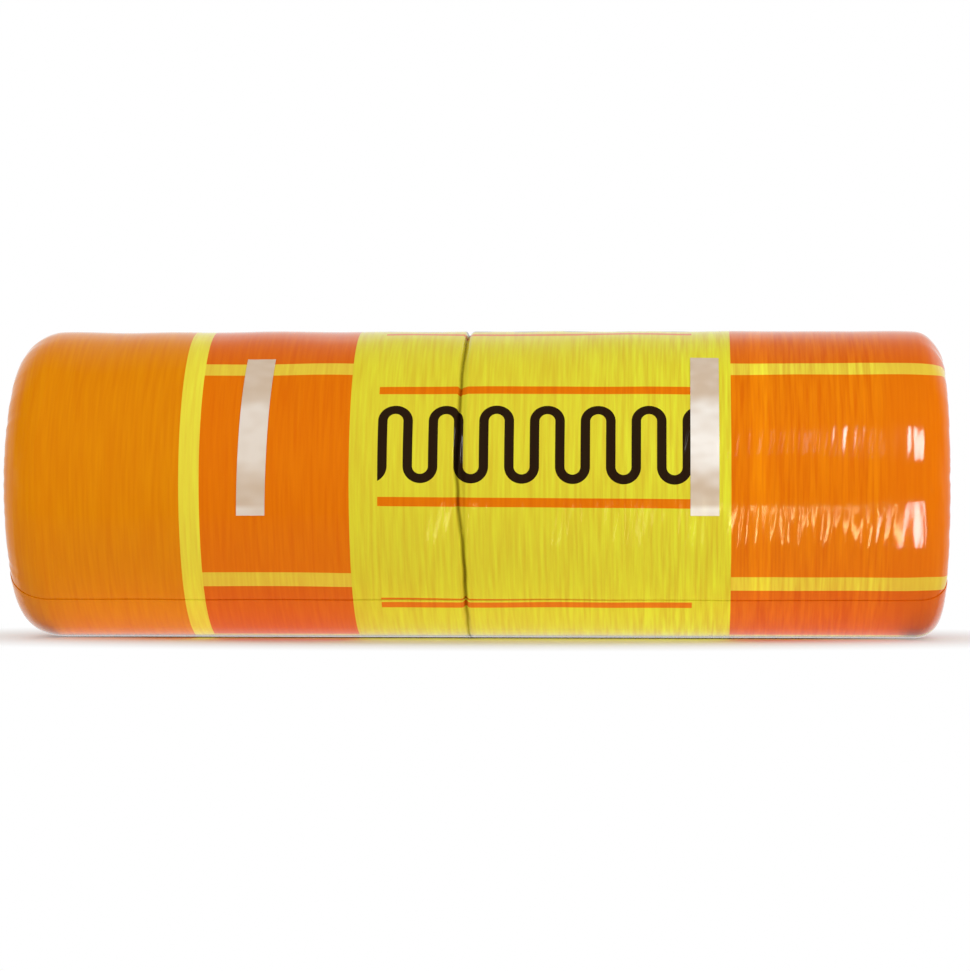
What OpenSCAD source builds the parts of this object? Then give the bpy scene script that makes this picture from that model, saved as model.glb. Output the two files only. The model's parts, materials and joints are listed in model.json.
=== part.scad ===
// Wrapped insulation roll. Two wound mineral wool mats lie end to end on one axis, held
// tight by one sleeve of film, and a strip of tape is stuck on the film over each mat.
// Millimetres. X runs along the roll, -Y is its front, and it lies on the plane z = 0.

/* [Wool mats] */
// Width of the left mat, along the roll
left_mat_w = 590; // [300:5:1250]
// Width of the right mat, along the roll
right_mat_w = 610; // [300:5:1250]
// Outside diameter of a wound mat
mat_d = 397; // [300:1:600]
// Diameter of the open eye in the middle of the winding
eye_d = 36; // [20:1:80]
// Number of turns from the eye to the outside
turns = 8; // [4:1:10]
// Width of the crease between two turns on a cut end
crease_w = 5; // [2:0.5:8]
// Depth of the crease between two turns
crease_depth = 6; // [2:0.5:12]
// Rounding of the left mat where the film turns over its end
left_end_round = 54; // [20:1:70]
// Rounding of the right mat where the film turns over its end
right_end_round = 32; // [20:1:70]
// Rounding of a mat where it meets the other one
meet_round = 14; // [12:1:30]

/* [Film sleeve] */
// Thickness of the film
film_t = 1.2; // [0.6:0.1:2]
// Room between the film and the wool
film_gap = 0.3; // [0.1:0.05:0.8]
// Width of film that lies flat on the end with the wider rounding
lip_w = 24; // [5:1:50]
// Depth that the film is drawn in where the mats meet
dip_depth = 3; // [1:0.5:4]
// Radius of the hollow where the film is drawn in
dip_r = 8; // [6:0.5:10]
// Angle of the film's free edge below the horizontal, at the front
lap_edge_angle = 47; // [10:1:60]
// Width of film that laps over itself below that edge
lap_w = 80; // [20:5:90]
// Distance that the lap stops short of the rounding at each end
lap_stop = 4; // [2:1:20]

/* [Tape strips] */
// Width of a strip, along the roll
tape_w = 36; // [15:1:80]
// Length of a strip, round the roll
tape_l = 230; // [60:5:300]
// Thickness of a strip
tape_t = 0.8; // [0.3:0.1:1.5]
// Room between a strip and the film
tape_gap = 0.1; // [0.05:0.05:0.4]
// Angle of a strip's middle above the horizontal, at the front
tape_angle = 21; // [-5:1:60]
// Distance of the left strip's middle from where the mats meet
left_tape_x = 266; // [60:1:270]
// Distance of the right strip's middle from where the mats meet
right_tape_x = 304; // [60:1:310]

/* [Hidden] */
$fn = 96;

mat_r = mat_d / 2;
eye_r = eye_d / 2;
turn_pitch = (mat_r - eye_r) / turns;
// How far a cutting shape runs past the face that it cuts
overrun = 1;
// Difference in width and depth where two arcs of the crease meet
arc_step = 0.2;

// Film surface: the sleeve's outside is film_t + film_gap off the wool
wool_to_outside = film_gap + film_t;
pack_r = mat_r + wool_to_outside;
pack_w = left_mat_w + right_mat_w;
// The mats meet off the middle of the pack when their widths differ
meet_x = (left_mat_w - right_mat_w) / 2;
// Both ends leave the same opening, inside the wider of the two roundings
lip_r = mat_r - max(left_end_round, right_end_round) - lip_w;

// Radii of the half-turn arcs of a crease that stays inside limit_r
function half_turn_radii(limit_r) =
    [for (r = eye_r + turn_pitch / 2; r + turn_pitch / 4 < limit_r; r = r + turn_pitch / 2) r];
function degrees_round(length, radius) = length / radius * 180 / PI;
// The turned shapes' own angle for an angle above the horizontal at the front
function front(angle) = -90 - angle;

// Lays a shape that was turned about Z along the roll's axis
module along_roll(x) {
    translate([x, 0, pack_r]) rotate([0, 90, 0]) children();
}

// Corner piece that leaves a rounding of radius r when it is taken off a corner at the origin
module corner_waste(r) {
    difference() {
        translate([-r, -r]) square(r + overrun);
        translate([-r, -r]) circle(r);
    }
}

// Half section of a mat, from its left end at y = 0 to its right end
module mat_section(width, left_round, right_round) {
    difference() {
        translate([eye_r, 0]) square([mat_r - eye_r, width]);
        translate([mat_r, width]) corner_waste(right_round);
        translate([mat_r, 0]) mirror([0, 1]) corner_waste(left_round);
    }
}

// Half section of the sleeve's filled outline, from the wool outwards, grown by g
module sleeve_outline(g) {
    r = mat_r + g;
    difference() {
        translate([0, -pack_w / 2 - g]) square([r, pack_w + 2 * g]);
        translate([r, pack_w / 2 + g]) corner_waste(right_end_round + g);
        translate([r, -pack_w / 2 - g]) mirror([0, 1]) corner_waste(left_end_round + g);
        translate([pack_r + dip_r - dip_depth, meet_x]) circle(dip_r + wool_to_outside - g);
    }
}

// Crease between the turns on the end at z = 0, a spiral of half-turn arcs about two
// centres. Each arc is half a pitch wider than the last, and every second one is cut a
// little larger, so that two arcs meet in a small clean step. It stays clear of the
// rounding at the end's edge.
module turn_crease(edge_round) {
    radii = half_turn_radii(mat_r - edge_round - crease_w);
    for (i = [0 : len(radii) - 1]) {
        r = radii[i];
        depth = crease_depth + i % 2 * arc_step;
        half_w = (crease_w / 2 + i % 2 * arc_step) * (1 + overrun / depth);
        rotate([0, 0, 180 * i]) translate([-turn_pitch / 4, 0, 0])
            rotate_extrude(angle = 180)
                polygon([[r - half_w, overrun], [r, -depth], [r + half_w, overrun]]);
    }
}

// A wound mat: turned body with its eye, and the crease of its turns on both ends
module mat(width, left_round, right_round) {
    color("khaki") difference() {
        rotate_extrude() mat_section(width, left_round, right_round);
        translate([0, 0, width]) turn_crease(right_round);
        mirror([0, 0, 1]) turn_crease(left_round);
    }
}

module left_mat() {
    along_roll(-pack_w / 2) mat(left_mat_w, left_end_round, meet_round);
}

module right_mat() {
    along_roll(meet_x) mat(right_mat_w, meet_round, right_end_round);
}

// The sleeve is one layer of film, and two where it laps over itself
module film_sleeve() {
    lap_angle = degrees_round(lap_w, pack_r);
    lap_length = pack_w - left_end_round - right_end_round - 2 * lap_stop;
    color("darkorange") along_roll(0) {
        rotate_extrude() difference() {
            sleeve_outline(wool_to_outside);
            sleeve_outline(film_gap);
            translate([0, -pack_w]) square([lip_r, 2 * pack_w]);
        }
        rotate([0, 0, front(-lap_edge_angle)]) rotate_extrude(angle = lap_angle) intersection() {
            difference() {
                sleeve_outline(wool_to_outside + film_t);
                sleeve_outline(film_gap + film_t / 2);
            }
            translate([lip_r, left_end_round + lap_stop - pack_w / 2]) square([pack_r, lap_length]);
        }
    }
}

module tape(x) {
    tape_r = pack_r + tape_gap;
    half_angle = degrees_round(tape_l, tape_r) / 2;
    color("gainsboro") along_roll(x)
        rotate([0, 0, front(tape_angle + half_angle)])
            rotate_extrude(angle = 2 * half_angle)
                translate([tape_r, -tape_w / 2]) square([tape_t, tape_w]);
}

module left_tape() {
    tape(meet_x - left_tape_x);
}

module right_tape() {
    tape(meet_x + right_tape_x);
}

left_mat();
right_mat();
film_sleeve();
left_tape();
right_tape();
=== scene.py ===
# Wrapped insulation roll: two wound mineral wool mats end to end in one printed film sleeve,
# with a strip of tape over each. Metres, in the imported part's own frame: X runs along the
# roll, -Y is its front and Z is up.
import json
import math

import bpy
import numpy as np
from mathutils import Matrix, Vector, noise


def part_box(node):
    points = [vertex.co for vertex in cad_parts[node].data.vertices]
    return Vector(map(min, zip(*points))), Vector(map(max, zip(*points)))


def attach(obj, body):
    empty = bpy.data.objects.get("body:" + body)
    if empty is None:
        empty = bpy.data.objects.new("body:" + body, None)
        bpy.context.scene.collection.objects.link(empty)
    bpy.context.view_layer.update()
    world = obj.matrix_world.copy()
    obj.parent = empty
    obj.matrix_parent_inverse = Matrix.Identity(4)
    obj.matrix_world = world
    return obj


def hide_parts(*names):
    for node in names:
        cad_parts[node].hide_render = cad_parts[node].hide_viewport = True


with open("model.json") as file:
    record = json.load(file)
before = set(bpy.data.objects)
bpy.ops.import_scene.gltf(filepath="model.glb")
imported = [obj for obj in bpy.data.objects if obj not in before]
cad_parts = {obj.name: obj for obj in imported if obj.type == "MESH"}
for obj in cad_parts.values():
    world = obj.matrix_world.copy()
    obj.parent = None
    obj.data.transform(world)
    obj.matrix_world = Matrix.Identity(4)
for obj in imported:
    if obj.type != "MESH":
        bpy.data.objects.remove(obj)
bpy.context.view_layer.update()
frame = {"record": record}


# Wool mats
# Each is a long mat of mineral wool, pressed flat and wound up without a core. Its cut end shows the turns
# as a spiral of soft crowns with a crease between, painted dark as shade.
left_box, right_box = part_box("left_mat"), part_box("right_mat")
axis_z = (left_box[0].z + left_box[1].z) / 2
mat_r = (left_box[1].z - left_box[0].z) / 2
meet_x = left_box[1].x
eye_r = next(m for m in frame["record"]["mounts"] if m["name"] == "eye")["dims"]["r_mm"] / 1000
turns = 8
turn_pitch = (mat_r - eye_r) / turns
crease_depth = 0.008
# Power of a sine over one turn: the lower it is, the flatter the crown and the narrower the crease
crown_power = 0.45
# Roundings at the pack's two ends and where the mats meet. The film draws the right mat's edge in
# by drawn_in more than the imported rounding
left_round, right_round, meet_round = 0.054, 0.032, 0.020
drawn_in = 0.009
# The film's opening on each end. The wool swells out of it, fully so from opening_fade inside its margin
opening_r = 0.1205
opening_margin, opening_fade = 0.003, 0.012
wool_bulge = 0.0015
lump_height, lump_size = 0.004, 0.030
clump_height, clump_size = 0.003, 0.009
# Room between the wool and the film
wool_slack = 0.0015
# Rows of the mesh round a mat, and columns over its end, round an edge, and along its side and its eye.
# Those along the eye stop short of the end, at eye_share of the width
wool_rows, end_columns, edge_columns, side_columns = 168, 84, 8, 5
eye_share = 0.98
# Faces that meet at less than this angle are shaded as one
smooth_below = math.radians(50)


def srgb(code):
    """Linear colour of an sRGB hex value, as a shader socket takes it."""
    parts = [int(code[i:i + 2], 16) / 255 for i in (1, 3, 5)]
    return [c / 12.92 if c <= 0.04045 else ((c + 0.055) / 1.055) ** 2.4 for c in parts] + [1]


def add(tree, kind, inputs=None, **settings):
    """Adds a node. An input is a value, a socket, or a node whose first output is linked."""
    node = tree.nodes.new(kind)
    for name, value in settings.items():
        setattr(node, name, value)
    for socket, value in (inputs or {}).items():
        if isinstance(value, bpy.types.Node):
            value = value.outputs[0]
        if isinstance(value, bpy.types.NodeSocket):
            tree.links.new(value, node.inputs[socket])
        else:
            node.inputs[socket].default_value = value
    return node


def new_material(name):
    """A material with an empty node tree."""
    material = bpy.data.materials.new(name)
    material.use_nodes = True
    material.node_tree.nodes.clear()
    return material, material.node_tree


def grain(points, size, shift):
    """Smooth noise from about -0.7 to 0.7 at each point: its grain along X, Y and Z, and its shift."""
    scaled = points.reshape(-1, 3) / np.asarray(size) + shift
    return np.array([noise.noise(Vector(p)) for p in scaled]).reshape(points.shape[:-1])


def round_axis(x, r, phi):
    """Points at radius r from the roll's axis and angle phi above the horizontal at the front."""
    return np.stack([x, -r * np.cos(phi), axis_z + r * np.sin(phi)], -1)


def grid_piece(name, points, material, ends_meet=True):
    """A closed mesh through a grid of points that wraps round, and is capped if its ends don't meet."""
    columns, rows = points.shape[:2]
    at = np.arange(columns * rows).reshape(columns, rows)
    beside = np.roll(at, -1, 0)
    quads = np.stack([at, beside, np.roll(beside, -1, 1), np.roll(at, -1, 1)], -1)
    faces = quads[:, :rows if ends_meet else rows - 1].reshape(-1, 4).tolist()
    if not ends_meet:
        faces += [at[::-1, 0].tolist(), at[:, -1].tolist()]
    mesh = bpy.data.meshes.new(name)
    mesh.from_pydata(points.reshape(-1, 3).tolist(), [], faces)
    mesh.polygons.foreach_set("use_smooth", np.ones(len(faces), bool))
    mesh.set_sharp_from_angle(angle=smooth_below)
    mesh.materials.append(material)
    piece = bpy.data.objects.new(name, mesh)
    bpy.context.scene.collection.objects.link(piece)
    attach(piece, "root")
    return piece


def point_values(piece, label, values):
    """Keeps one value for each point of a piece, for its material or for what grows on it."""
    layer = piece.data.attributes.new(label, "FLOAT", "POINT")
    layer.data.foreach_set("value", values.ravel())


# Mineral wool, spun and felted: matt, mottled from pale to straw, and painted darker down in the creases as
# shade.
# In a colour Mix, input 0 is the share of the second colour, 6 and 7 are the colours, and output 2 the mix.
wool, nodes = new_material("felted_mineral_wool")
tuft_size = 0.012
strand_size = 0.0025
place = add(nodes, "ShaderNodeTexCoord").outputs["Object"]
tufts = add(nodes, "ShaderNodeTexNoise", {"Vector": place, "Scale": 1 / tuft_size, "Detail": 4.0})
strands = add(nodes, "ShaderNodeTexNoise",
              {"Vector": place, "Scale": 1 / strand_size, "Detail": 3.0, "Distortion": 1.5})
mottle = add(nodes, "ShaderNodeMapRange", {"Value": tufts, "From Min": 0.3, "From Max": 0.7})
straw = add(nodes, "ShaderNodeMix", {0: mottle, 6: srgb("#c9a95c"), 7: srgb("#e6d494")}, data_type="RGBA")
crown = add(nodes, "ShaderNodeAttribute", attribute_name="crown")
crease_shaded = add(nodes, "ShaderNodeMix", {0: crown.outputs["Fac"], 6: srgb("#6f5626"), 7: straw.outputs[2]},
          data_type="RGBA")
wool_bump = add(nodes, "ShaderNodeBump", {"Height": strands, "Strength": 0.7, "Distance": 0.0015})
wool_skin = add(nodes, "ShaderNodeBsdfPrincipled",
                {"Base Color": crease_shaded.outputs[2], "Roughness": 0.95, "Normal": wool_bump,
                 "Specular IOR Level": 0.2, "Sheen Weight": 0.2})
add(nodes, "ShaderNodeOutputMaterial", {"Surface": wool_skin})


def wound_mat(name, box, end_side, end_round):
    """A mat as one closed turn of its half section, with the spiral crease in its open end."""
    width = box[1].x - box[0].x
    outside = mat_r - wool_slack
    bend = np.linspace(0, np.pi / 2, edge_columns + 2)[1:-1]
    # Half section: along the eye to the open end, over it, and back outside to where the mats meet
    r = np.concatenate([np.full(side_columns, eye_r), np.linspace(eye_r, outside - end_round, end_columns),
                        outside - end_round * (1 - np.sin(bend)), np.full(side_columns, outside),
                        outside - meet_round * (1 - np.cos(bend)), [eye_r + meet_round]])
    along = np.concatenate([np.linspace(0, eye_share, side_columns) * width, np.full(end_columns, width),
                            width - end_round * (1 - np.cos(bend)),
                            np.linspace(width - end_round, meet_round, side_columns),
                            meet_round * (1 - np.sin(bend)), [0]])
    r, phi = np.meshgrid(r, np.linspace(0, 2 * np.pi, wool_rows, endpoint=False), indexing="ij")
    along = np.repeat(along[:, None], wool_rows, 1)
    on_end = along == width
    # The turns: crowns between creases on a spiral that widens by one pitch a turn
    crowns = np.abs(np.sin(np.pi * ((r - eye_r) / turn_pitch + phi / (2 * np.pi)))) ** crown_power
    flat = round_axis(0 * r, r, phi)
    lumps = wool_bulge + lump_height * grain(flat, lump_size, 5) + clump_height * grain(flat, clump_size, 9)
    open_end = on_end * np.clip((opening_r - opening_margin - r) / opening_fade, 0, 1)
    along = along + on_end * crease_depth * (crowns - 1) + open_end * lumps
    x = box[0].x + along if end_side > 0 else box[1].x - along
    # The right mat is the other hand, so its rows are taken the other way round
    way = -end_side
    piece = grid_piece(name, round_axis(x, r, phi)[:, ::way], wool)
    # The crown share, which the felt takes for its painted shade in the creases
    point_values(piece, "crown", np.where(on_end, crowns, 1)[:, ::way])
    point_values(piece, "open_end", open_end[:, ::way])
    return piece


left_wool = wound_mat("wool_left", left_box, -1, left_round)
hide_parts("left_mat")
right_wool = wound_mat("wool_right", right_box, 1, right_round + drawn_in)
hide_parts("right_mat")


# Loose fibres
# Single strands of the spun wool that stand off the cut ends of the mats, some paler than
# others. Real ones are finer than a hair, so these are drawn as thick as they need to show.
strands_per_area = 75000.0
strand_length = 0.012
strand_shape = 0.018

# Mineral wool, spun to single strands: a little glossier than the felt, in pale straw tones.
strand, nodes = new_material("mineral_wool_strand")
place = add(nodes, "ShaderNodeTexCoord").outputs["Object"]
tones = add(nodes, "ShaderNodeTexNoise", {"Vector": place, "Scale": 1 / strand_size, "Detail": 1.0})
paleness = add(nodes, "ShaderNodeMapRange", {"Value": tones, "From Min": 0.35, "From Max": 0.65})
straw = add(nodes, "ShaderNodeMix", {0: paleness, 6: srgb("#dcc88a"), 7: srgb("#f4eabf")}, data_type="RGBA")
strand_skin = add(nodes, "ShaderNodeBsdfPrincipled", {"Base Color": straw.outputs[2], "Roughness": 0.6})
add(nodes, "ShaderNodeOutputMaterial", {"Surface": strand_skin})

fuzz = bpy.data.node_groups.new("loose_fibres", "GeometryNodeTree")
fuzz.interface.new_socket("Mat", in_out="INPUT", socket_type="NodeSocketGeometry")
per_area = fuzz.interface.new_socket("Fibres per square metre", in_out="INPUT",
                                     socket_type="NodeSocketFloat")
fibre_length = fuzz.interface.new_socket("Length", in_out="INPUT", socket_type="NodeSocketFloat")
fibre_shape = fuzz.interface.new_socket("Radius to length", in_out="INPUT", socket_type="NodeSocketFloat")
fibre_seed = fuzz.interface.new_socket("Seed", in_out="INPUT", socket_type="NodeSocketInt")
fuzz.interface.new_socket("Fibres", in_out="OUTPUT", socket_type="NodeSocketGeometry")
given = add(fuzz, "NodeGroupInput")
on_open_end = add(fuzz, "GeometryNodeInputNamedAttribute", {"Name": "open_end"}, data_type="FLOAT")
density = add(fuzz, "ShaderNodeMath", {0: given.outputs["Fibres per square metre"], 1: on_open_end},
              operation="MULTIPLY")
spots = add(fuzz, "GeometryNodeDistributePointsOnFaces",
            {"Mesh": given.outputs["Mat"], "Density": density, "Seed": given.outputs["Seed"]})
# A strand of unit length, bowed up. Each one is scaled, tilted a little and turned any way at random
bow = add(fuzz, "GeometryNodeCurveQuadraticBezier",
          {"Resolution": 5, "Start": (-0.5, 0, 0), "Middle": (0, 0.5, 0.3), "End": (0.5, 0, 0.05)})
section = add(fuzz, "GeometryNodeCurvePrimitiveCircle",
              {"Resolution": 3, "Radius": given.outputs["Radius to length"]})
fibre = add(fuzz, "GeometryNodeCurveToMesh", {"Curve": bow, "Profile Curve": section, "Fill Caps": True})
share = add(fuzz, "FunctionNodeRandomValue", {2: 0.5, 3: 1.5, "Seed": given.outputs["Seed"]},
            data_type="FLOAT")
size = add(fuzz, "ShaderNodeMath", {0: given.outputs["Length"], 1: share.outputs[1]}, operation="MULTIPLY")
strewn = add(fuzz, "GeometryNodeInstanceOnPoints",
             {"Points": spots, "Instance": fibre, "Rotation": spots.outputs["Rotation"], "Scale": size})
twist = add(fuzz, "FunctionNodeRandomValue",
            {0: (-0.3, -0.3, 0), 1: (0.3, 0.3, 2 * math.pi), "Seed": given.outputs["Seed"]},
            data_type="FLOAT_VECTOR")
turned = add(fuzz, "GeometryNodeRotateInstances",
             {"Instances": strewn, "Rotation": twist, "Local Space": True})
real = add(fuzz, "GeometryNodeRealizeInstances", {"Geometry": turned})
dressed = add(fuzz, "GeometryNodeSetMaterial", {"Geometry": real, "Material": strand})
add(fuzz, "NodeGroupOutput", {"Fibres": dressed})


def loose_fibres(name, mat, seed):
    """Strands strewn over a mat's open end, as a plain mesh."""
    piece = bpy.data.objects.new(name, mat.data.copy())
    bpy.context.scene.collection.objects.link(piece)
    modifier = piece.modifiers.new("fibres", "NODES")
    modifier.node_group = fuzz
    modifier[per_area.identifier] = strands_per_area
    modifier[fibre_length.identifier] = strand_length
    modifier[fibre_shape.identifier] = strand_shape
    modifier[fibre_seed.identifier] = seed
    done = piece.evaluated_get(bpy.context.evaluated_depsgraph_get())
    strands_mesh = bpy.data.meshes.new_from_object(done)
    piece.modifiers.clear()
    piece.data = strands_mesh
    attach(piece, "root")


loose_fibres("fibres_left", left_wool, 3)
loose_fibres("fibres_right", right_wool, 8)


# Film sleeve
# Printed polyethylene film, stretched round both mats until it ripples, lapped over itself
# along the front and drawn in over both ends, where the spare width gathers in pleats.
film_low, film_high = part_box("film_sleeve")
film_r = film_high.y
film_wall = 0.0020
film_slack = 0.0014
lap_edge = math.radians(-47)
lap_width = math.radians(23)
# Columns of the mesh over the crease and over the rest, and its rows round the film from the lap's
# edge to the lap's edge, which stand closer there
crease_zone = 0.026
crease_columns, plain_columns = 34, 310
film_turn = np.concatenate([[0, 0.12, 0.4], np.linspace(1, 359, 272), [359.6, 359.88, 360]])
film_phi = lap_edge + np.radians(film_turn)
# Repeats of the print round the film, counted so that its stripes lie at whole numbers: it
# is stretched over the front and closes up over the hidden side
print_repeat = 0.302
lap_repeat = 4
stripe_phi = np.radians([-38.7, 47.4, 281])
end_repeat_angle = 1.40
print_turns = np.interp(film_phi, stripe_phi, [0, 1, lap_repeat])
past_stripes = np.minimum(film_phi - stripe_phi[0], 0) + np.maximum(film_phi - stripe_phi[2], 0)
print_turns += past_stripes / end_repeat_angle

# Printed film, gravure printed in flat inks: a clear gloss that breaks up on the ripples, and fine streaks,
# partly where the stretched film thins and partly painted shading of its ripples.
film, nodes = new_material("printed_polyethylene_film")
amber, orange, shaded_orange = srgb("#e48408"), srgb("#e67208"), srgb("#e0660e")
field_yellow, ring_yellow, stripe_yellow = srgb("#e0cb34"), srgb("#ecd640"), srgb("#e8c23e")
brown = srgb("#2b1b10")
ring_x, ring_w = -0.357, 0.026
field_x, field_w = 0.0865, 0.481
stripe_w = 0.023
unrolled = add(nodes, "ShaderNodeSeparateXYZ", {0: add(nodes, "ShaderNodeUVMap", uv_map="print")})
along_roll, repeats = unrolled.outputs[0], unrolled.outputs[1]
past_ring = add(nodes, "ShaderNodeMath", {0: along_roll, 1: ring_x}, operation="GREATER_THAN")
in_ring = add(nodes, "ShaderNodeMath", {0: along_roll, 1: ring_x, 2: ring_w / 2}, operation="COMPARE")
in_field = add(nodes, "ShaderNodeMath", {0: along_roll, 1: field_x, 2: field_w / 2}, operation="COMPARE")
from_stripe = add(nodes, "ShaderNodeMath", {0: repeats, 1: 0.5}, operation="PINGPONG")
on_stripe = add(nodes, "ShaderNodeMath", {0: from_stripe, 1: stripe_w / 2 / print_repeat},
                operation="LESS_THAN")
# The panel between the two front stripes is a lighter orange; the others, which turn up, down and away from
# the front, are painted a deeper orange as shade
in_front = add(nodes, "ShaderNodeMath", {0: repeats, 1: 0.5, 2: 0.5}, operation="COMPARE")
panels = add(nodes, "ShaderNodeMix", {0: in_front, 6: shaded_orange, 7: orange}, data_type="RGBA")
striped = add(nodes, "ShaderNodeMix", {0: on_stripe, 6: panels.outputs[2], 7: stripe_yellow},
              data_type="RGBA")
banded = add(nodes, "ShaderNodeMix", {0: past_ring, 6: amber, 7: striped.outputs[2]}, data_type="RGBA")
ringed = add(nodes, "ShaderNodeMix", {0: in_ring, 6: banded.outputs[2], 7: ring_yellow}, data_type="RGBA")
fielded = add(nodes, "ShaderNodeMix", {0: in_field, 6: ringed.outputs[2], 7: field_yellow},
              data_type="RGBA")
# The drawing sign for insulation in the yellow field: one line that winds up and down between two rules
wave_l, wave_line, wave_straight = 0.064, 0.012, 0.030
wave_x, wave_w = 0.080, 0.396
wave_place = 0.62
rule_w, rule_off = 0.012, 0.076
place_round = add(nodes, "ShaderNodeMath", {0: repeats}, operation="FRACT")
above = add(nodes, "ShaderNodeMath", {0: place_round, 1: print_repeat, 2: -wave_place * print_repeat},
            operation="MULTIPLY_ADD")
height = add(nodes, "ShaderNodeMath", {0: above}, operation="ABSOLUTE")
into_bend = add(nodes, "ShaderNodeMath", {0: height, 1: wave_straight}, operation="SUBTRACT")
into_bend = add(nodes, "ShaderNodeMath", {0: into_bend, 1: 0.0}, operation="MAXIMUM")
upper = add(nodes, "ShaderNodeMath", {0: above, 1: 0.0}, operation="GREATER_THAN")
stepped = add(nodes, "ShaderNodeMath", {0: upper, 1: wave_l / 2, 2: along_roll}, operation="MULTIPLY_ADD")
from_bend = add(nodes, "ShaderNodeMath", {0: stepped, 1: wave_l / 2}, operation="PINGPONG")
from_centre = add(nodes, "ShaderNodeCombineXYZ", {0: from_bend, 1: into_bend})
from_centre = add(nodes, "ShaderNodeVectorMath", {0: from_centre}, operation="LENGTH")
on_wave = add(nodes, "ShaderNodeMath", {0: from_centre.outputs["Value"], 1: wave_l / 4, 2: wave_line / 2},
              operation="COMPARE")
on_rule = add(nodes, "ShaderNodeMath", {0: height, 1: rule_off, 2: rule_w / 2}, operation="COMPARE")
in_sign = add(nodes, "ShaderNodeMath", {0: along_roll, 1: wave_x, 2: wave_w / 2}, operation="COMPARE")
wave = add(nodes, "ShaderNodeMath", {0: on_wave, 1: in_sign}, operation="MULTIPLY")
rules = add(nodes, "ShaderNodeMath", {0: on_rule, 1: in_sign}, operation="MULTIPLY")
ruled = add(nodes, "ShaderNodeMix", {0: rules, 6: fielded.outputs[2], 7: orange}, data_type="RGBA")
signed = add(nodes, "ShaderNodeMix", {0: wave, 6: ruled.outputs[2], 7: brown}, data_type="RGBA")
# Where the film is slack it has fine streaks, paler and darker by turns: partly the film thinning, partly
# painted shading of its ripples
place = add(nodes, "ShaderNodeTexCoord").outputs["Object"]
slackness = add(nodes, "ShaderNodeAttribute", attribute_name="slackness").outputs["Fac"]
streak_size = (0.0046, 0.090, 0.090)
thick_tint, thin_tint = (0.95, 0.91, 0.80, 1), (1.10, 1.40, 1.20, 1)
streak_map = add(nodes, "ShaderNodeMapping", {"Vector": place, "Scale": streak_size},
                 vector_type="TEXTURE")
streaks = add(nodes, "ShaderNodeTexNoise", {"Vector": streak_map, "Scale": 1.0, "Detail": 2.0})
thinness = add(nodes, "ShaderNodeMapRange", {"Value": streaks, "From Min": 0.3, "From Max": 0.7})
thinning_and_ripple_shade = add(nodes, "ShaderNodeMix", {0: thinness, 6: thick_tint, 7: thin_tint}, data_type="RGBA")
inked = add(nodes, "ShaderNodeMix", {0: slackness, 6: signed.outputs[2], 7: thinning_and_ripple_shade.outputs[2]},
            data_type="RGBA", blend_type="MULTIPLY")
# A band beside the yellow field is stretched thin and paler, but not on the outer layer of the lap
band_x, band_half_w, band_blur = 0.3635, 0.0125, 0.005
band_tint = (1.09, 1.19, 1.0, 1)
from_band = add(nodes, "ShaderNodeMath", {0: along_roll, 1: band_x}, operation="SUBTRACT")
from_band = add(nodes, "ShaderNodeMath", {0: from_band}, operation="ABSOLUTE")
in_band = add(nodes, "ShaderNodeMapRange", {"Value": from_band, "From Min": band_half_w + band_blur / 2,
                                            "From Max": band_half_w - band_blur / 2})
under_lap = add(nodes, "ShaderNodeMath", {0: repeats, 1: lap_repeat}, operation="LESS_THAN")
paleness = add(nodes, "ShaderNodeMath", {0: in_band, 1: under_lap}, operation="MULTIPLY")
paled = add(nodes, "ShaderNodeMix", {0: paleness, 6: inked.outputs[2], 7: band_tint},
            data_type="RGBA", blend_type="MULTIPLY")
# In the fold between the mats the film is painted dark as shade, and its gloss is turned off there
fold_painted_shade_tint = (0.50, 0.46, 0.40, 1)
fold = add(nodes, "ShaderNodeAttribute", attribute_name="fold").outputs["Fac"]
fold_shaded = add(nodes, "ShaderNodeMix", {0: fold, 6: paled.outputs[2], 7: fold_painted_shade_tint},
             data_type="RGBA", blend_type="MULTIPLY")
gloss = add(nodes, "ShaderNodeMapRange", {"Value": fold, "To Min": 0.15, "To Max": 0.0})
# Fine ripples that lean a little: one wave for each fine_size along X, uneven in height. A Wave texture
# has one wave for each pi / 10 of its length at scale 1
fine_size, fine_lean = (0.013, 0.060, 0.060), math.radians(6)
ripple_map = add(nodes, "ShaderNodeMapping",
                 {"Vector": place, "Scale": fine_size, "Rotation": (0, fine_lean, 0)},
                 vector_type="TEXTURE")
waves = add(nodes, "ShaderNodeTexWave", {"Vector": ripple_map, "Scale": math.pi / 10, "Distortion": 3.0,
                                         "Detail": 1.0, "Detail Scale": 3.0}, bands_direction="X")
tallness = add(nodes, "ShaderNodeTexNoise", {"Vector": ripple_map, "Scale": 1.0, "Detail": 0.0})
fine_ripples = add(nodes, "ShaderNodeMath", {0: waves.outputs["Fac"], 1: tallness}, operation="MULTIPLY")
film_bump = add(nodes, "ShaderNodeBump",
                {"Height": fine_ripples, "Strength": slackness, "Distance": 0.00028})
film_skin = add(nodes, "ShaderNodeBsdfPrincipled",
                {"Base Color": fold_shaded.outputs[2], "Roughness": 0.08, "IOR": 1.5,
                 "Specular IOR Level": gloss, "Normal": film_bump})
add(nodes, "ShaderNodeOutputMaterial", {"Surface": film_skin})

# The film's soft shape: slow swells, and ripples that wander and lean. It is slacker towards the right,
# and taut again at the right end, with a low shoulder before the rounding
swell_height, swell_size = 0.0018, 0.09
swell_x = [0.49, 0.53]
slack_x = [-0.35, -0.15, 0.1, 0.35, 0.51, 0.535]
slack_levels = [0.45, 0.55, 0.6, 1, 1, 0.3]
ripple_height, ripple_size, ripple_lean = 0.00012, (0.010, 0.09, 0.09), 0.15
ripple_wander, ripple_wander_size = 0.008, (0.05, 0.08, 0.08)
shoulder_x, shoulder_w, shoulder_drop = 0.538, 0.035, 0.001225
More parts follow.
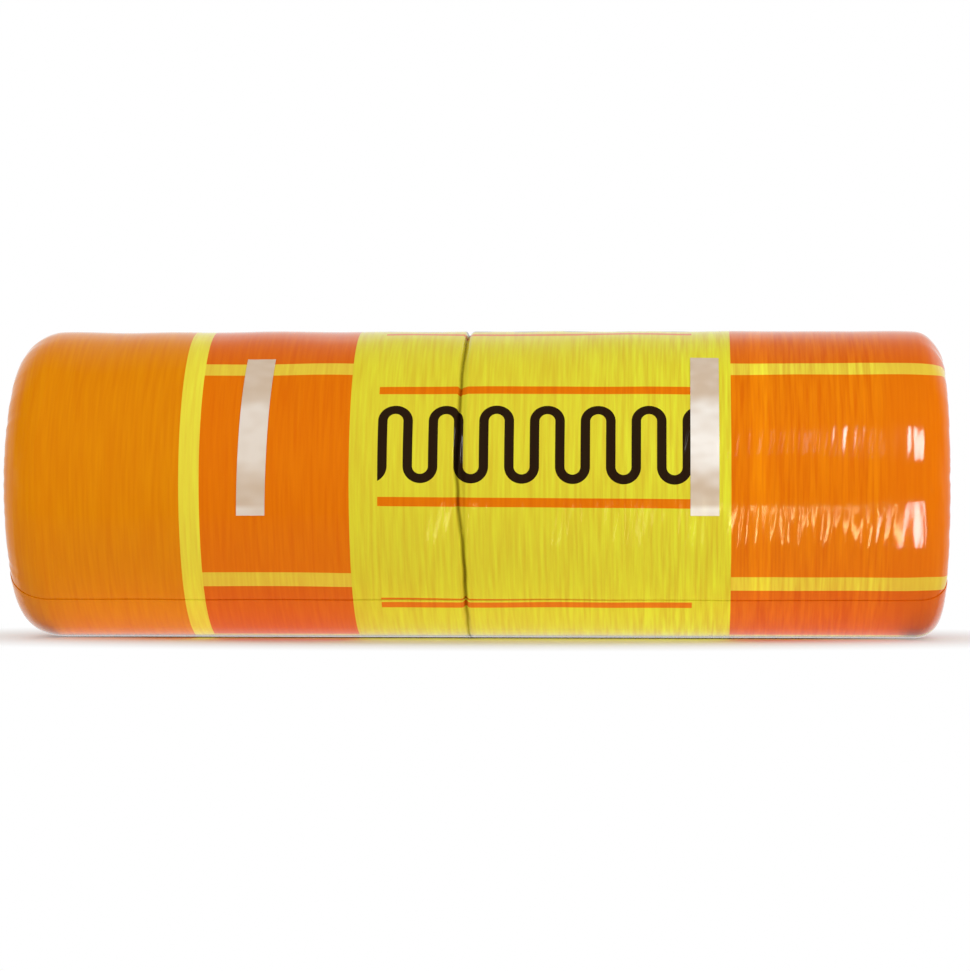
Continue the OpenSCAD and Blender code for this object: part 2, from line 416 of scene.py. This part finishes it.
# Pleats, as noise on a circle of pleats_round units, which lies ends_apart to either side so that the ends
# differ: their depth on the rim and on the lip, and how far and how slowly the lip's edge wanders
pleats_round, ends_apart = 9, 7.0
rim_pleat, lip_pleat = 0.0015, 0.0028
lip_wander, lip_wander_size = 0.012, 2.2
# The crease where the mats meet: how far it strays to the left at angles round the front, its depth and
# width, and those of the soft fold that it lies in, with the share of painted shade that the soft fold
# takes
stray_angles = [-40, -20, -8, 5, 30, 90, 180]
strays = [0, 0.001, 0.006, 0.0088, 0.005, 0.002, 0]
stray_wander, stray_wander_size = 0.0015, 0.03
film_crease_depth, film_crease_w = 0.0055, 0.0024
fold_depth, fold_w, soft_fold_painted_shade = 0.0018, 0.0030, 0.3
# The lap: the step up to the outer layer, and the inner layer tucked in under its free edge
lap_step, lap_ramp = 0.0010, math.radians(2.5)
tuck_depth, tuck_ramp = 0.0014, math.radians(0.3)
# Where the film is pressed flat on the floor, and the two corners that are out of round
floor_press = 0.4
corner_start, corner_fade = 0.6, 0.35
lower_left_bulge, upper_right_bulge = 0.0050, -0.0040
# The plain inside: where it begins beside the crease, how deep it lies there, and its share of the lip.
# It stops short of a whole turn by a little, so that the lap's edge has a thickness
inside_start, inside_depth = 0.010, 0.012
inside_lip = 0.9
inside_turn = 0.9999
# The print is stretched less from less_x to the left, at most by less_most of a repeat over less_angle
less_most, less_angle = 0.0244, math.radians(84)
less_x, less_w = 0.4, 0.65
# Over the rim the print runs straight on as far as rim_level of the film's radius, with a blend that is
# sharper the higher rim_blend is. It does so at the front alone, and no more at front_edge
rim_level, rim_blend = 0.86, 40
front_edge, front_fade = math.radians(84), math.radians(28)


def film_swell(base):
    """Slow rise and fall of the film over the soft wool, down to nothing at the right end."""
    return swell_height * grain(base, swell_size, 23) * np.interp(base[..., 0], swell_x, [1, 0])


def film_half(name, end_side, rim):
    """The film over one mat, from the crease where the mats meet, over its end to the opening."""
    end_x = film_high.x if end_side > 0 else film_low.x
    to_rim = abs(end_x - meet_x) - rim
    to_lip = to_rim + rim * math.pi / 2
    lip_w = film_r - rim - opening_r
    s = np.concatenate([np.linspace(0, crease_zone, crease_columns, endpoint=False),
                        np.linspace(crease_zone, to_lip + lip_w, plain_columns)])
    s, phi = np.meshgrid(s, film_phi, indexing="ij")
    bend = np.clip((s - to_rim) / rim, 0, np.pi / 2)
    on_lip = np.clip((s - to_lip) / lip_w, 0, 1)
    x = meet_x + end_side * (np.minimum(s, to_rim) + rim * np.sin(bend))
    r = film_r - rim * (1 - np.cos(bend)) - on_lip * lip_w
    base = round_axis(x, r, phi)

    # Ripples on slow swells, and the shoulder
    slackness = np.interp(x, slack_x, slack_levels)
    shift = ripple_wander * grain(base, ripple_wander_size, 3) - ripple_lean * (base[..., 2] - axis_z)
    moved = base + np.stack([shift, 0 * shift, 0 * shift], -1)
    ripples = ripple_height * slackness * grain(moved, ripple_size, 11)
    shoulder = shoulder_drop * np.clip((x - shoulder_x) / shoulder_w, 0, 1) ** 2
    height = film_slack + np.cos(bend) * (ripples + film_swell(base) - shoulder)

    # Pleats grow over the rim and along the lip, whose edge wanders
    aside = np.full_like(phi, ends_apart * end_side)
    round_end = np.stack([aside, pleats_round * np.cos(phi), pleats_round * np.sin(phi)], -1)
    pleats = np.abs(grain(round_end, 1, 31))
    height = height - pleats * (rim_pleat * np.sin(bend) + lip_pleat * on_lip)
    opening = lip_wander * grain(round_end, lip_wander_size, 41) * on_lip

    # Where the mats meet the film is drawn in: a soft fold, and a deep crease that strays left at the front
    stray = np.interp(np.degrees(phi), stray_angles, strays)
    stray = stray + stray_wander * grain(round_axis(0 * x, r, phi), stray_wander_size, 51)
    crease = np.exp(-((x - meet_x + stray) / film_crease_w) ** 2)
    soft_fold = np.exp(-((x - meet_x) / fold_w) ** 2)
    height = height - film_crease_depth * crease - fold_depth * soft_fold

    # The lap: the outer layer rides on the inner one as far as its free edge
    outer_layer = np.clip((phi - lap_edge - 2 * np.pi + lap_width) / lap_ramp, 0, 1)
    tucked_in = np.exp((lap_edge - phi) / tuck_ramp)
    height = height + (1 - on_lip) * (lap_step * outer_layer - tuck_depth * tucked_in)

    # Pressed flat against the wool where the roll lies on the floor
    height = height * np.clip(1 + np.sin(phi), 0, floor_press) / floor_press
    # The lower left corner is pushed out by the weight, and the upper right one is drawn in
    corner_bulge = upper_right_bulge if end_side > 0 else lower_left_bulge
    at_corner = np.clip((end_side * np.sin(phi) - corner_start) / corner_fade, 0, 1)
    height = height + corner_bulge * at_corner * np.sin(bend) * np.sin(2 * bend)
    outside = round_axis(x + end_side * np.sin(bend) * height, r + np.cos(bend) * height - opening, phi)
    # The inside is plain: a few rings against the wool
    inside_s = np.array([to_rim + rim, to_rim, 0.5 * to_rim, inside_start])[:, None]
    inside_r = film_r - np.array([rim + inside_lip * lip_w, film_wall, film_wall, inside_depth])[:, None]
    inside_phi = lap_edge + inside_turn * (film_phi - lap_edge)
    inside = round_axis(meet_x + end_side * (inside_s - film_wall) + 0 * film_phi,
                        inside_r + 0 * film_phi, inside_phi + 0 * inside_s)
    points = np.concatenate([outside, inside])
    # Below the upper front stripe the print is stretched less at the left than at the right
    less = less_most * np.clip((less_x - points[..., 0]) / less_w, 0, 1)
    turns_round = print_turns - less * np.maximum(stripe_phi[1] - film_phi, 0) / less_angle
    # Over the rim the front's stripes run straight on, and draw together only on the end itself
    level = np.minimum(np.logaddexp(rim_blend * r / film_r, rim_blend * rim_level) / rim_blend, 1)
    at_front = np.clip((front_edge - np.abs(phi)) / front_fade, 0, 1)
    straight_on = (np.arcsin(level * np.sin(phi)) - phi) * at_front
    turns_round[:len(r)] += straight_on / (stripe_phi[1] - stripe_phi[0])

    # The left half is the other hand, so its rows are taken the other way round
    points, turns_round = points[:, ::end_side], turns_round[:, ::end_side]
    piece = grid_piece(name, points, film)
    # The fold values give where the film is painted dark and dull as shade
    for label, values in (("slackness", slackness), ("fold", np.maximum(crease, soft_fold_painted_shade * soft_fold))):
        point_values(piece, label, np.concatenate([values, 0 * inside[..., 0]])[:, ::end_side])
    # Map of the print: metres along the roll, and repeats round it. The lap's free edge itself
    # takes the outer layer's print
    corners = np.zeros(len(piece.data.loops), int)
    piece.data.loops.foreach_get("vertex_index", corners)
    v = turns_round.ravel()[corners].reshape(-1, 4)
    v = np.where(np.ptp(v, axis=1)[:, None] > 1, print_turns[-1], v)
    u = points[..., 0].ravel()[corners]
    layer = piece.data.uv_layers.new(name="print")
    layer.uv.foreach_set("vector", np.stack([u, v.ravel()], -1).astype(np.float32).ravel())
    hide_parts("film_sleeve")


film_half("film_left", -1, left_round + film_r - mat_r)
film_half("film_right", 1, right_round + film_r - mat_r)


# Tape strips
# White polypropylene tape, slightly translucent and glossy, pressed on by hand, so that the left strip runs
# a little askew. Bands along each strip are painted whiter and less clear as painted reflections of the
# lamps.
tape_top, tape_bottom = math.radians(53.2), math.radians(-11)
tape_lift = 0.0007
tape_wall = 0.0004
tape_columns, tape_rows = 13, 80
tape_wave, tape_wave_size = 0.0003, (0.012, 0.06, 0.06)
# Painted reflection of the lamps along a strip, by angle: faint at its upper part and just above its lower
# end, bright between and at the very end, in patches
reflection_angles = [-8.5, -7, -2, 4, 9, 28, 35]
reflection_levels = [0.9, 0.2, 0.1, 0.4, 1, 0.85, 0.1]
reflection_patch, reflection_patch_size = 0.35, (0.02, 0.012, 0.012)

# Polypropylene tape, cast as a thin film: white and half clear, with a soft gloss, and painted whiter and
# less clear in bands as painted reflections of the lamps.
tape, nodes = new_material("white_polypropylene_tape")
painted_reflection = add(nodes, "ShaderNodeAttribute", attribute_name="painted_reflection").outputs["Fac"]
reflection_tint = add(nodes, "ShaderNodeMix", {0: painted_reflection, 6: srgb("#e0c8ae"), 7: srgb("#f8f0e6")}, data_type="RGBA")
cover = add(nodes, "ShaderNodeMapRange", {"Value": painted_reflection, "To Min": 0.84, "To Max": 0.97})
press_size = (0.010, 0.05, 0.05)
place = add(nodes, "ShaderNodeTexCoord").outputs["Object"]
press_map = add(nodes, "ShaderNodeMapping", {"Vector": place, "Scale": press_size}, vector_type="TEXTURE")
press = add(nodes, "ShaderNodeTexNoise", {"Vector": press_map, "Scale": 1.0, "Detail": 2.0})
tape_bump = add(nodes, "ShaderNodeBump", {"Height": press, "Strength": 0.5, "Distance": 0.0008})
tape_skin = add(nodes, "ShaderNodeBsdfPrincipled",
                {"Base Color": reflection_tint.outputs[2], "Roughness": 0.25, "IOR": 1.49, "Specular IOR Level": 0.3,
                 "Normal": tape_bump, "Alpha": cover})
add(nodes, "ShaderNodeOutputMaterial", {"Surface": tape_skin})


def tape_strip(name, node, skew, most_reflection):
    """A strip over the film, as a closed ribbon that leans by skew about its middle."""
    low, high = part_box(node)
    middle, half_w = (low.x + high.x) / 2, (high.x - low.x) / 2
    across, phi = np.meshgrid(np.linspace(-half_w, half_w, tape_columns),
                              np.linspace(tape_bottom, tape_top, tape_rows), indexing="ij")
    x = middle + across + math.tan(skew) * film_r * (phi - (tape_top + tape_bottom) / 2)
    base = round_axis(x, film_r + 0 * x, phi)
    top = film_r + film_slack + tape_lift + film_swell(base) + tape_wave * grain(base, tape_wave_size, 61)
    points = np.concatenate([round_axis(x, top, phi), round_axis(x, top - tape_wall, phi)[::-1]])
    piece = grid_piece(name, points, tape, ends_meet=False)
    # The painted reflection of the lamps: its share at each point of the strip
    reflection_share = np.interp(np.degrees(phi), reflection_angles, reflection_levels)
    reflection_share = np.clip(reflection_share + reflection_patch * grain(base, reflection_patch_size, 71), 0, 1) * most_reflection
    point_values(piece, "painted_reflection", np.concatenate([reflection_share, reflection_share[::-1]]))
    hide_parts(node)


tape_strip("tape_strip_left", "left_tape", math.radians(1.5), 0.65)
tape_strip("tape_strip_right", "right_tape", 0, 1)


# Studio
# A pale floor that runs out into white, soft light from all round, two broad lamps to the sides, low
# strips that fill the shade under the roll, narrow lamps for the gleams on the ripples, a black flag
# that keeps the room out of the film's gloss, and the camera far off at the height of the axis.
floor_w = 30
bpy.ops.mesh.primitive_plane_add(size=floor_w)
floor = bpy.context.object
floor.name = "floor"
# Painted floor: matt and nearly white. Away from the roll's shadow the camera sees it as plain white.
pale, nodes = new_material("pale_studio_floor")
floor.data.materials.append(pale)
shadow_x, shadow_y = 0.72, 0.30
place = add(nodes, "ShaderNodeTexCoord").outputs["Object"]
spread = add(nodes, "ShaderNodeMapping", {"Vector": place, "Scale": (1 / shadow_x, 1 / shadow_y, 1.0)})
far = add(nodes, "ShaderNodeVectorMath", {0: spread}, operation="LENGTH")
fade = add(nodes, "ShaderNodeMapRange", {"Value": far.outputs["Value"], "From Min": 0.6, "From Max": 1.3})
rays = add(nodes, "ShaderNodeLightPath")
seen = add(nodes, "ShaderNodeMath",
           {0: rays.outputs["Is Camera Ray"], 1: rays.outputs["Is Transmission Ray"]}, operation="MAXIMUM")
faded = add(nodes, "ShaderNodeMath", {0: seen, 1: fade}, operation="MULTIPLY")
whiteness = add(nodes, "ShaderNodeMath", {0: faded, 1: rays.outputs["Is Glossy Ray"]}, operation="MAXIMUM")
matt = add(nodes, "ShaderNodeBsdfDiffuse", {"Color": srgb("#efeeec")})
glow = add(nodes, "ShaderNodeEmission", {"Strength": 1.0})
mixed = add(nodes, "ShaderNodeMixShader", {0: whiteness, 1: matt, 2: glow})
add(nodes, "ShaderNodeOutputMaterial", {"Surface": mixed})

# The room: an even white all round, a little less bright as light than as it is seen
world = bpy.data.worlds.new("white_surround")
bpy.context.scene.world = world
world.use_nodes = True
nodes = world.node_tree
nodes.nodes.clear()
rays = add(nodes, "ShaderNodeLightPath")
seen = add(nodes, "ShaderNodeMath", {0: rays.outputs["Is Camera Ray"], 1: rays.outputs["Is Glossy Ray"]},
           operation="MAXIMUM")
seen = add(nodes, "ShaderNodeMath", {0: seen, 1: rays.outputs["Is Transmission Ray"]}, operation="MAXIMUM")
level = add(nodes, "ShaderNodeMapRange", {"Value": seen, "To Min": 0.87, "To Max": 1.0})
surround = add(nodes, "ShaderNodeBackground", {"Color": (1, 1, 1, 1), "Strength": level})
add(nodes, "ShaderNodeOutputWorld", {"Surface": surround})

# The flag, in rows from under the roll forwards, up and back over it: Y, Z, half width and openness.
# Beside that half width it thins out to nothing
# Its half open rows on the floor just in front of the roll are painted shade: in the film's gloss they
# stand in for the roll's shadow on the floor
flag_rows = [(0.1, 0.001, 0.9, 1), (-0.03, 0.001, 0.9, 1), (-0.06, 0.001, 0.9, 0.4),
             (-0.13, 0.001, 0.9, 0.4), (-0.6, 0.001, 0.9, 0), (-7, 0.001, 9, 0), (-7, 5, 9, 0),
             (0.2, 5, 9, 0), (6, 5, 9, 1)]
flag_sides = (-6, -1, 1, 6)
across = len(flag_sides)
flag_points = [(side * half_w, y, z) for y, z, half_w, openness in flag_rows for side in flag_sides]
flag_faces = [(i, i + 1, i + across + 1, i + across) for i in range(across * (len(flag_rows) - 1))
              if i % across < across - 1]
flag_mesh = bpy.data.meshes.new("black_flag")
flag_mesh.from_pydata(flag_points, [], flag_faces)
flag = bpy.data.objects.new("black_flag", flag_mesh)
point_values(flag, "gauze", np.array([[1.0 if abs(side) > 1 else row[3] for side in flag_sides]
                                      for row in flag_rows]))
bpy.context.scene.collection.objects.link(flag)
# Black cotton cloth: matt, and as open as gauze towards its edges. Only the film's gloss shows it.
cloth, nodes = new_material("black_flag_cloth")
thin_edge = add(nodes, "ShaderNodeAttribute", attribute_name="gauze").outputs["Fac"]
black = add(nodes, "ShaderNodeBsdfDiffuse", {"Color": srgb("#202020")})
gauze = add(nodes, "ShaderNodeBsdfTransparent")
cloth_skin = add(nodes, "ShaderNodeMixShader", {0: thin_edge, 1: black, 2: gauze})
add(nodes, "ShaderNodeOutputMaterial", {"Surface": cloth_skin})
flag_mesh.materials.append(cloth)
flag.visible_camera = False
flag.visible_diffuse = False
flag.visible_shadow = False


def lamp(name, place, aim, width, height, watts):
    """A soft flat lamp that faces aim."""
    light = bpy.data.lights.new(name, "AREA")
    light.shape = "RECTANGLE"
    light.size, light.size_y = width, height
    light.energy = watts
    holder = bpy.data.objects.new(name, light)
    holder.location = place
    holder.rotation_euler = (Vector(aim) - Vector(place)).to_track_quat("-Z", "Y").to_euler()
    holder.visible_camera = False
    bpy.context.scene.collection.objects.link(holder)
    return holder


# Lamps that light the roll without showing in its gloss
for side, watts in ((-1, 2), (1, 28)):
    box = lamp("side_box", (2.6 * side, -2.9, 0.5), (0, 0, 0.2), 1.0, 1.0, watts)
    box.visible_glossy = False
for fill_y, width, watts in ((-0.066, 0.048, 0.085), (-0.14, 0.10, 0.14)):
    fill = lamp("low_fill", (0, fill_y, 0.0015), (0, fill_y, 1), 1.1, width, watts)
    fill.visible_glossy = False
# Lamps that show in the gloss alone: strips above the camera, and bars and panels that lie on the floor
# in front. The panels are turned, so that their gleams before the right rounding stand upright
gleams = [lamp("upper_strip", (0.885, -1.93, 1.30), (0.55, -0.2, 0.25), 0.20, 1.0, 27),
          lamp("upper_strip", (0.50, -1.93, 1.30), (0.42, -0.2, 0.25), 0.06, 0.8, 0.9)]
bar_y, bar_z, bar_w, bar_l = -0.62, 0.012, 0.01, 0.66
bar_tone = srgb("#fffab4")[:3]
for bar_x, watts in ((-0.053, 0.3), (0.10, 0.15), (0.20, 0.15), (0.28, 0.2), (0.35, 0.82), (0.40, 0.82),
                     (0.45, 0.82), (0.50, 0.82), (0.55, 0.82)):
    bar = lamp("floor_bar", (bar_x, bar_y, bar_z), (bar_x, bar_y, 1), bar_w, bar_l, watts)
    bar.data.color = bar_tone
    gleams.append(bar)
panel_y, panel_l, panel_turn = -0.64, 0.72, math.radians(8)
for panel_x, width, watts in ((0.598, 0.018, 1.5), (0.632, 0.032, 3.4), (0.674, 0.018, 1.6)):
    panel = lamp("floor_panel", (panel_x, panel_y, bar_z), (panel_x, panel_y, 1), width, panel_l, watts)
    panel.rotation_euler.z += panel_turn
    gleams.append(panel)
for gleam in gleams:
    gleam.visible_diffuse = False
    gleam.data.shape = "ELLIPSE"

image_px = 971
focal_px = 3420
sensor = 36.0
camera_distance = 4.5
camera_turn = math.radians(3.2)
camera_aim = Vector((0.0072, 0, axis_z - 0.0006))
camera = bpy.data.objects.new("camera", bpy.data.cameras.new("camera"))
camera.data.sensor_width = sensor
camera.data.lens = focal_px * sensor / image_px
camera.location = (camera_distance * math.sin(camera_turn), -camera_distance * math.cos(camera_turn),
                   axis_z)
camera.rotation_euler = (camera_aim - camera.location).to_track_quat("-Z", "Y").to_euler()
bpy.context.scene.collection.objects.link(camera)
bpy.context.scene.camera = camera
bpy.context.scene.view_settings.view_transform = "Standard"
